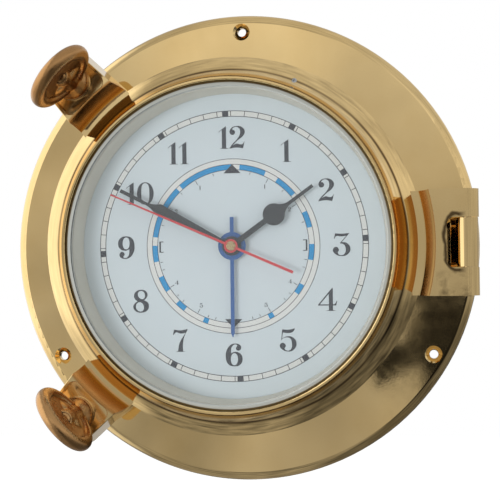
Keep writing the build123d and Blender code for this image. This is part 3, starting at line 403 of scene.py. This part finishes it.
def band(inner, outer, start, end, lift=PRINT_LIFT, copies=1, step=0.0):
    """A flat printed arc from start to end, in degrees; copies follow each other by step."""
    bpy.ops.mesh.primitive_plane_add(size=1, location=(0, 0, 0))
    piece = bpy.context.object
    piece.scale = (outer - inner, PRINT_THICKNESS, 1)
    piece.rotation_euler = (0, math.radians(-90), 0)
    piece.location = (0, dial_y - lift - PRINT_THICKNESS / 2, (inner + outer) / 2)
    bake()
    piece.rotation_euler = (0, math.radians(start), 0)
    bake()
    turn = end - start
    steps = max(1, round(turn / ARC_STEP))
    bpy.ops.object.mode_set(mode="EDIT")
    bpy.ops.mesh.select_all(action="SELECT")
    bpy.ops.mesh.spin(steps=steps, angle=math.radians(turn), center=(0, 0, 0), axis=(0, 1, 0))
    if copies > 1:
        whole = math.radians(step * (copies - 1))
        bpy.ops.mesh.select_all(action="SELECT")
        bpy.ops.mesh.spin(steps=copies - 1, angle=whole, center=(0, 0, 0), axis=(0, 1, 0), dupli=True)
    bpy.ops.object.mode_set(mode="OBJECT")
    return merge(piece)


def circle_line(radius, width):
    return band(radius - width / 2, radius + width / 2, 0, 360)


def angle_of(width, radius):
    """The angle that a width takes up on a circle, in degrees."""
    return math.degrees(width / radius)


def printed(name, piece, finish=INK):
    return settle(piece, name, "base", finish)


def drawn(outlines, height, centre_x, centre_z, lift=PRINT_LIFT):
    """Closed outlines, drawn 100 high, as flat print with its middle at a point of the dial."""
    size = height / 100
    curve = bpy.data.curves.new("outline", "CURVE")
    curve.dimensions = "2D"
    curve.fill_mode = "BOTH"
    curve.resolution_u = 6
    curve.extrude = PRINT_THICKNESS / 2 / size
    for outline in outlines:
        spline = curve.splines.new("BEZIER")
        spline.use_cyclic_u = True
        spline.bezier_points.add(len(outline) - 1)
        for point, (x, y, smooth) in zip(spline.bezier_points, outline):
            point.co = (x, y, 0)
            point.handle_left_type = point.handle_right_type = "AUTO" if smooth else "VECTOR"
    piece = bpy.data.objects.new("outline", curve)
    scene.collection.objects.link(piece)
    pick(piece)
    bpy.ops.object.convert(target="MESH")
    piece = bpy.context.object
    piece.matrix_world = (
        Matrix.Translation((centre_x, dial_y - lift - PRINT_THICKNESS / 2, centre_z))
        @ Matrix.Rotation(math.radians(90), 4, "X")
        @ Matrix.Diagonal((size, size, size, 1))
    )
    bake()
    return piece


def figure_outlines(text, gap=NUMERAL_GAP):
    """The outlines of a number, centred on its own middle."""
    outlines, left = [], 0.0
    for digit in text:
        turned = digit == "9"
        width, paths = FIGURES["6" if turned else digit]
        for path in paths:
            points = []
            for word in path.split():
                x, y = (float(part) for part in word.rstrip("~").split(","))
                if turned:
                    x, y = width - x, 100 - y
                points.append((x + left, y, word.endswith("~")))
            outlines.append(points)
        left += width + gap
    middle = (left - gap) / 2
    return [[(x - middle, y - 50, smooth) for x, y, smooth in points] for points in outlines]


def on_dial(radius, angle):
    """The place of a point on the dial, to the right of its centre and up."""
    turn = math.radians(angle)
    return radius * math.sin(turn), radius * math.cos(turn)


def minute_track():
    """The outer track: its pale ground, 60 cells, and a dark block at each hour."""
    printed("minute_track_cells", band(TRACK_INNER, TRACK_OUTER, 0, 360, PRINT_LIFT / 4), CREAM_INK)
    lines = [circle_line(TRACK_OUTER, TRACK_LINE), circle_line(TRACK_INNER, TRACK_LINE)]
    half = angle_of(TRACK_LINE, TRACK_OUTER) / 2
    lines.append(band(TRACK_INNER, TRACK_OUTER, -half, half, copies=60, step=6))
    printed("minute_track_lines", join(lines))
    half = angle_of(BLOCK_WIDTH, TRACK_INNER) / 2
    printed("minute_track_blocks", band(TRACK_INNER, TRACK_OUTER, -half, half, PRINT_LIFT * 2, 12, 30))


def numerals():
    for hour in range(1, 13):
        x, z = on_dial(NUMERAL_RADIUS, hour * 30)
        printed(f"numeral_{hour}", drawn(figure_outlines(str(hour)), NUMERAL_HEIGHT, x, z))


def tide_marks(steps, start):
    """Ticks on both sides of high tide, at 0, or low tide, at 180: long at whole hours, short at halves."""
    half = angle_of(SCALE_LINE, MARK_OUTER) / 2
    marks = []
    for step in steps:
        angle = abs(start - step * TIDE_HOUR / 2)
        length = SHORT_MARK if step % 2 else LONG_MARK
        for middle in (angle, -angle):
            marks.append(band(MARK_OUTER - length, MARK_OUTER, middle - half, middle + half))
    return marks


def tide_scale():
    """The inner track with its blue dashes, and the ticks inside it."""
    printed("tide_scale_ground", band(SCALE_INNER, SCALE_OUTER, 0, 360, PRINT_LIFT / 4), CREAM_INK)
    circles = [circle_line(radius, SCALE_LINE) for radius in (SCALE_OUTER, SCALE_MIDDLE, SCALE_INNER)]
    printed("tide_scale_lines", join(circles))
    blue = []
    for start, end in DASHES:
        blue.append(band(SCALE_INNER, SCALE_MIDDLE, start, end))
        blue.append(band(SCALE_INNER, SCALE_MIDDLE, -end, -start))
    printed("tide_scale_blue", join(blue), BLUE_INK)
    printed("tide_hour_marks", join(tide_marks(HIGH_TIDE_MARKS, 0) + tide_marks(LOW_TIDE_MARKS, 180)))


def tide_figures():
    """Small numbers on both sides: 1 and 2 hours from high tide, then 4 and 5 towards low tide."""
    figures = []
    for step in (1, 2):
        for side in (1, -1):
            x, z = on_dial(SMALL_RADIUS, side * step * TIDE_HOUR)
            figures.append(drawn(figure_outlines(str(step)), SMALL_FIGURE, x, z))
            x, z = on_dial(SMALL_RADIUS, side * (180 - step * TIDE_HOUR))
            figures.append(drawn(figure_outlines(str(6 - step)), SMALL_FIGURE, x, z))
    printed("tide_figures", join(figures))


def tide_pointers():
    """Dark triangles at high tide, on top, and low tide, below."""
    tall, half = (SCALE_MIDDLE - POINTER_BASE) / MM, POINTER_HALF / MM
    corners = [(-half, 0), (half, 0), (0, tall)]
    for name, side in (("high_tide_pointer", 1), ("low_tide_pointer", -1)):
        outline = [(x * side, z * side, False) for x, z in corners]
        printed(name, drawn([outline], OUTLINE_IN_MM, 0, side * POINTER_BASE, PRINT_LIFT * 3))


def half_tide_brackets():
    """Brackets at 3 and 9 o'clock, with a thick upright and thin ends."""
    tall, wide, line = BRACKET_HEIGHT / 2 / MM, BRACKET_WIDTH / MM, BRACKET_LINE / MM
    thin = line * 0.5
    corners = [(0, tall), (-wide, tall), (-wide, tall - thin), (-line, tall - thin)]
    corners += [(x, -y) for x, y in reversed(corners)]
    for name, side in (("half_tide_bracket_right", 1), ("half_tide_bracket_left", -1)):
        outline = [(x * side, y, False) for x, y in corners]
        printed(name, drawn([outline], OUTLINE_IN_MM, side * (MARK_OUTER - BRACKET_INSET), 0))


# Thumb nuts, cast and tumbled: a thick round rim, a dished web and a flared hub

NUT_LEAN = math.radians(4.5)
NUT_TURNS = {"upper": 311.2, "lower": 232.0}
RIM_CENTRE_DEPTH, HUB_BACK_DEPTH = 76.5 * MM, 58.1 * MM
RIM_RADIUS, RIM_THICKNESS = 12.8 * MM, 3.1 * MM
DISH_DEPTH, WEB_THICKNESS = 0.9 * MM, 3.6 * MM
HUB_RADIUS, NECK_RADIUS, BOSS_RADIUS = 7.7 * MM, 4.9 * MM, 3.8 * MM
BOSS_END = 1.8 * MM
GUSSET_WIDTH, GUSSET_THICKNESS, GUSSET_DROP = 9.5 * MM, 3.9 * MM, 6.2 * MM
WINDOW_RADIUS, WINDOW_PAST_STUD = 3.15 * MM, 0.3 * MM
NUT_VOXEL, NUT_SMOOTHING = 0.36 * MM, 9


def dished_web():
    """The disc that fills the rim, hollowed a little on the side towards the dial."""
    bpy.ops.mesh.primitive_cylinder_add(vertices=96, radius=RIM_RADIUS, depth=WEB_THICKNESS)
    web = bpy.context.object
    bpy.ops.object.mode_set(mode="EDIT")
    bpy.ops.mesh.select_all(action="DESELECT")
    bpy.ops.object.mode_set(mode="OBJECT")
    for face in web.data.polygons:
        face.select = face.normal.z > 0.9
    bpy.ops.object.mode_set(mode="EDIT")
    bpy.ops.mesh.inset(thickness=RIM_THICKNESS)
    bpy.ops.transform.translate(value=(0, 0, -DISH_DEPTH))
    bpy.ops.object.mode_set(mode="OBJECT")
    return web


def hub():
    """The waisted neck from the lug's pocket up to the boss round the stud's end, spun from its profile."""
    rise = RIM_CENTRE_DEPTH - HUB_BACK_DEPTH
    profile = (
        (0, 0), (HUB_RADIUS, 0), (HUB_RADIUS, 2.2 * MM), (HUB_RADIUS - 0.9 * MM, 3.6 * MM),
        (NECK_RADIUS, 6.4 * MM), (NECK_RADIUS - 0.3 * MM, 8.6 * MM), (BOSS_RADIUS, rise - 3 * MM),
        (BOSS_RADIUS, rise + BOSS_END), (0, rise + BOSS_END),
    )
    bpy.ops.mesh.primitive_circle_add(vertices=len(profile), radius=1)
    piece = bpy.context.object
    for vertex, (radius, height) in zip(piece.data.vertices, profile):
        vertex.co = (radius, 0, height - rise)
    bpy.ops.object.mode_set(mode="EDIT")
    bpy.ops.mesh.select_all(action="SELECT")
    bpy.ops.mesh.spin(steps=48, angle=math.tau, center=(0, 0, 0), axis=(0, 0, 1))
    bpy.ops.object.mode_set(mode="OBJECT")
    return merge(piece)


def gusset():
    """The swelling that carries the neck into the web."""
    bpy.ops.mesh.primitive_uv_sphere_add(segments=48, ring_count=24, radius=1, location=(0, 0, -GUSSET_DROP))
    piece = bpy.context.object
    piece.scale = (GUSSET_WIDTH, GUSSET_THICKNESS, GUSSET_DROP)
    bake()
    return piece


def thumb_nut(side):
    """The cast nut round one stud, turned as in the photo. It stands for the CAD nut."""
    bpy.ops.mesh.primitive_torus_add(
        major_radius=RIM_RADIUS, minor_radius=RIM_THICKNESS, major_segments=96, minor_segments=28)
    plate = join([bpy.context.object, dished_web()])
    plate.rotation_euler = (-math.radians(90) - NUT_LEAN, 0, 0)
    bake()
    nut = join([plate, hub(), gusset()])
    modify(nut, "REMESH", mode="VOXEL", voxel_size=NUT_VOXEL)
    modify(nut, "SMOOTH", factor=0.5, iterations=NUT_SMOOTHING)
    stud_low, stud_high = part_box("thumb_stud_" + side)
    end = -stud_low.y - RIM_CENTRE_DEPTH + WINDOW_PAST_STUD
    bpy.ops.mesh.primitive_cylinder_add(
        vertices=64, radius=WINDOW_RADIUS, depth=end, location=(0, 0, end / 2))
    window = bpy.context.object
    modify(nut, "BOOLEAN", operation="DIFFERENCE", object=window, solver="EXACT")
    bpy.data.objects.remove(window)
    turn = math.radians(NUT_TURNS[side])
    nut.matrix_world = Matrix((
        (math.cos(turn), math.sin(turn), 0, (stud_low.x + stud_high.x) / 2),
        (0, 0, -1, -RIM_CENTRE_DEPTH),
        (-math.sin(turn), math.cos(turn), 0, (stud_low.z + stud_high.z) / 2),
        (0, 0, 0, 1),
    ))
    nut = settle(nut, "cast_nut_" + side, side + "_thumb_screw", FINISHES["cast_brass"])
    shade(nut)
    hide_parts("thumb_nut_" + side)


# Stage, light and camera. The camera stands to the clock's right and a little below it.

WHITE = (1, 1, 1, 1)
FLOOR_SIZE, FLOOR_HEIGHT = 6.0, -0.45
FLOOR_GREY, FLOOR_GLOW = (0.8, 0.8, 0.8, 1), 0.55
PLAIN_LIGHT = 0.62
LAMP_PLACE, LAMP_TARGET = Vector((-0.45, -1.0, -0.07)), Vector((0, -0.04, 0))
LAMP_SIZE, LAMP_WATTS = 0.35, 4.2
CAMERA_SIDE, CAMERA_DROP, CAMERA_ROLL = math.radians(7.7), math.radians(0.8), math.radians(0.7)
CAMERA_DISTANCE = 0.65
CAMERA_AIM = Vector((2.6, -3.0, -1.3)) * MM
CAMERA_LENS, CAMERA_SENSOR = 100.8, 36.0


def lay_floor():
    """Pale paper that takes the clock's shadow. Mirror rays pass through it to the room."""
    bpy.ops.mesh.primitive_plane_add(size=FLOOR_SIZE, location=(0, 0, FLOOR_HEIGHT))
    floor = bpy.context.object
    floor.name = "floor"
    paint = Paint(bpy.data.materials.new("floor_paper"))
    paper = paint.node("BsdfPrincipled", None, {"Base Color": FLOOR_GREY, "Roughness": 0.9})
    glow = paint.node("Emission", None, {"Color": WHITE, "Strength": FLOOR_GLOW})
    lit = paint.node("AddShader", None, {0: paper, 1: glow})
    seen = paint.ray("Camera") + paint.ray("Transmission")
    shown = paint.node("MixShader", None, {0: seen, 1: paper, 2: lit})
    clear = paint.node("BsdfTransparent")
    shown = paint.node("MixShader", None, {0: paint.ray("Glossy"), 1: shown, 2: clear})
    paint.node("OutputMaterial", None, {"Surface": shown})
    floor.data.materials.append(paint.owner)


def room_level(paint, way):
    """How bright the room is that the metal reflects, in each direction. No picture is used for it."""
    x, _, z = paint.parts(way)
    cloud = paint.noise(9.0, 2.0, way) - 0.5
    wave = (paint.noise(12.0, 1.0, way) - 0.5) * 0.035

    # Bright above, even on the left side, and bright again at the far left
    level = paint.span(z, 0.02, 0.24, 0.47, 0.82) * paint.span(z, 0.35, 0.55, 1.0, 0.75)
    left_side = paint.span(x, -0.34, -0.2, 1.0, 0.0)
    level = level * (1.0 - left_side) + left_side * 0.52 + paint.span(x, -0.66, -0.52, 0.9, 0.0)

    # Cloudy, most of all below, and darker near the ground and at the lower right
    level = level + cloud * paint.span(z, -0.5, -0.25, 1.3, 0.7)
    level = level * paint.span(z, -0.42, -0.24, 0.6, 1.0)
    level = level * (1.0 - paint.span(x, 0.1, 0.25, 0.0, 0.5) * paint.span(z, -0.3, -0.15, 1.0, 0.0))

    # A dark shape with wavy sides on the right, except on a pale slope below it and a thin leaning gleam
    right, high = x + wave, z + wave * 0.7
    slope = paint.span(high - right * 0.72, -0.148, -0.143, 1.0, 0.0)
    slope = slope * paint.span(right, 0.042, 0.047, 1.0, 0.0)
    dark = paint.between(right, 0.002, 0.008, 0.5, 0.7) * paint.between(high, -0.42, -0.34, -0.03, -0.024)
    gleam = paint.between(high - right * 1.67, -0.153, -0.149, -0.136, -0.131)
    gleam = gleam * paint.between(high, -0.104, -0.092, -0.052, -0.044)
    return level * (1.0 - dark * (1.0 - slope) * (1.0 - gleam * 0.9) * 0.95)


def light_world():
    """White to the camera and through glass, plain light on surfaces, and the room to mirror rays."""
    world = bpy.data.worlds.new("studio")
    scene.world = world
    paint = Paint(world)
    way = paint.node("TexCoord", output="Generated")
    glossy = paint.ray("Glossy")
    to_eye = paint.ray("Camera") + paint.ray("Transmission")
    light = glossy * room_level(paint, way) + (1.0 - glossy) * PLAIN_LIGHT
    strength = to_eye + (1.0 - to_eye) * light
    back = paint.node("Background", None, {"Color": WHITE, "Strength": strength})
    paint.node("OutputWorld", None, {"Surface": back})


def hang_lamp():
    """One lamp from the left. Mirror rays don't see it, so it leaves no white patch on the brass."""
    data = bpy.data.lights.new("key", "AREA")
    data.size = LAMP_SIZE
    data.energy = LAMP_WATTS
    lamp = bpy.data.objects.new("key", data)
    scene.collection.objects.link(lamp)
    lamp.visible_glossy = False
    lamp.location = LAMP_PLACE
    lamp.rotation_euler = (LAMP_TARGET - LAMP_PLACE).to_track_quat("-Z", "Y").to_euler()


def set_camera():
    data = bpy.data.cameras.new("camera")
    data.sensor_width = CAMERA_SENSOR
    data.lens = CAMERA_LENS
    camera = bpy.data.objects.new("camera", data)
    scene.collection.objects.link(camera)
    level = math.cos(CAMERA_DROP)
    away = Vector((math.sin(CAMERA_SIDE) * level, -math.cos(CAMERA_SIDE) * level, -math.sin(CAMERA_DROP)))
    camera.location = CAMERA_AIM + away * CAMERA_DISTANCE
    look = (-away).to_track_quat("-Z", "Y").to_matrix().to_4x4()
    camera.rotation_euler = (look @ Matrix.Rotation(-CAMERA_ROLL, 4, "Z")).to_euler()
    scene.camera = camera


scene.view_settings.view_transform = "Standard"
set_camera()
light_world()
lay_floor()
hang_lamp()
dress_frame()
minute_track()
numerals()
tide_scale()
tide_figures()
tide_pointers()
half_tide_brackets()
thumb_nut("upper")
thumb_nut("lower")
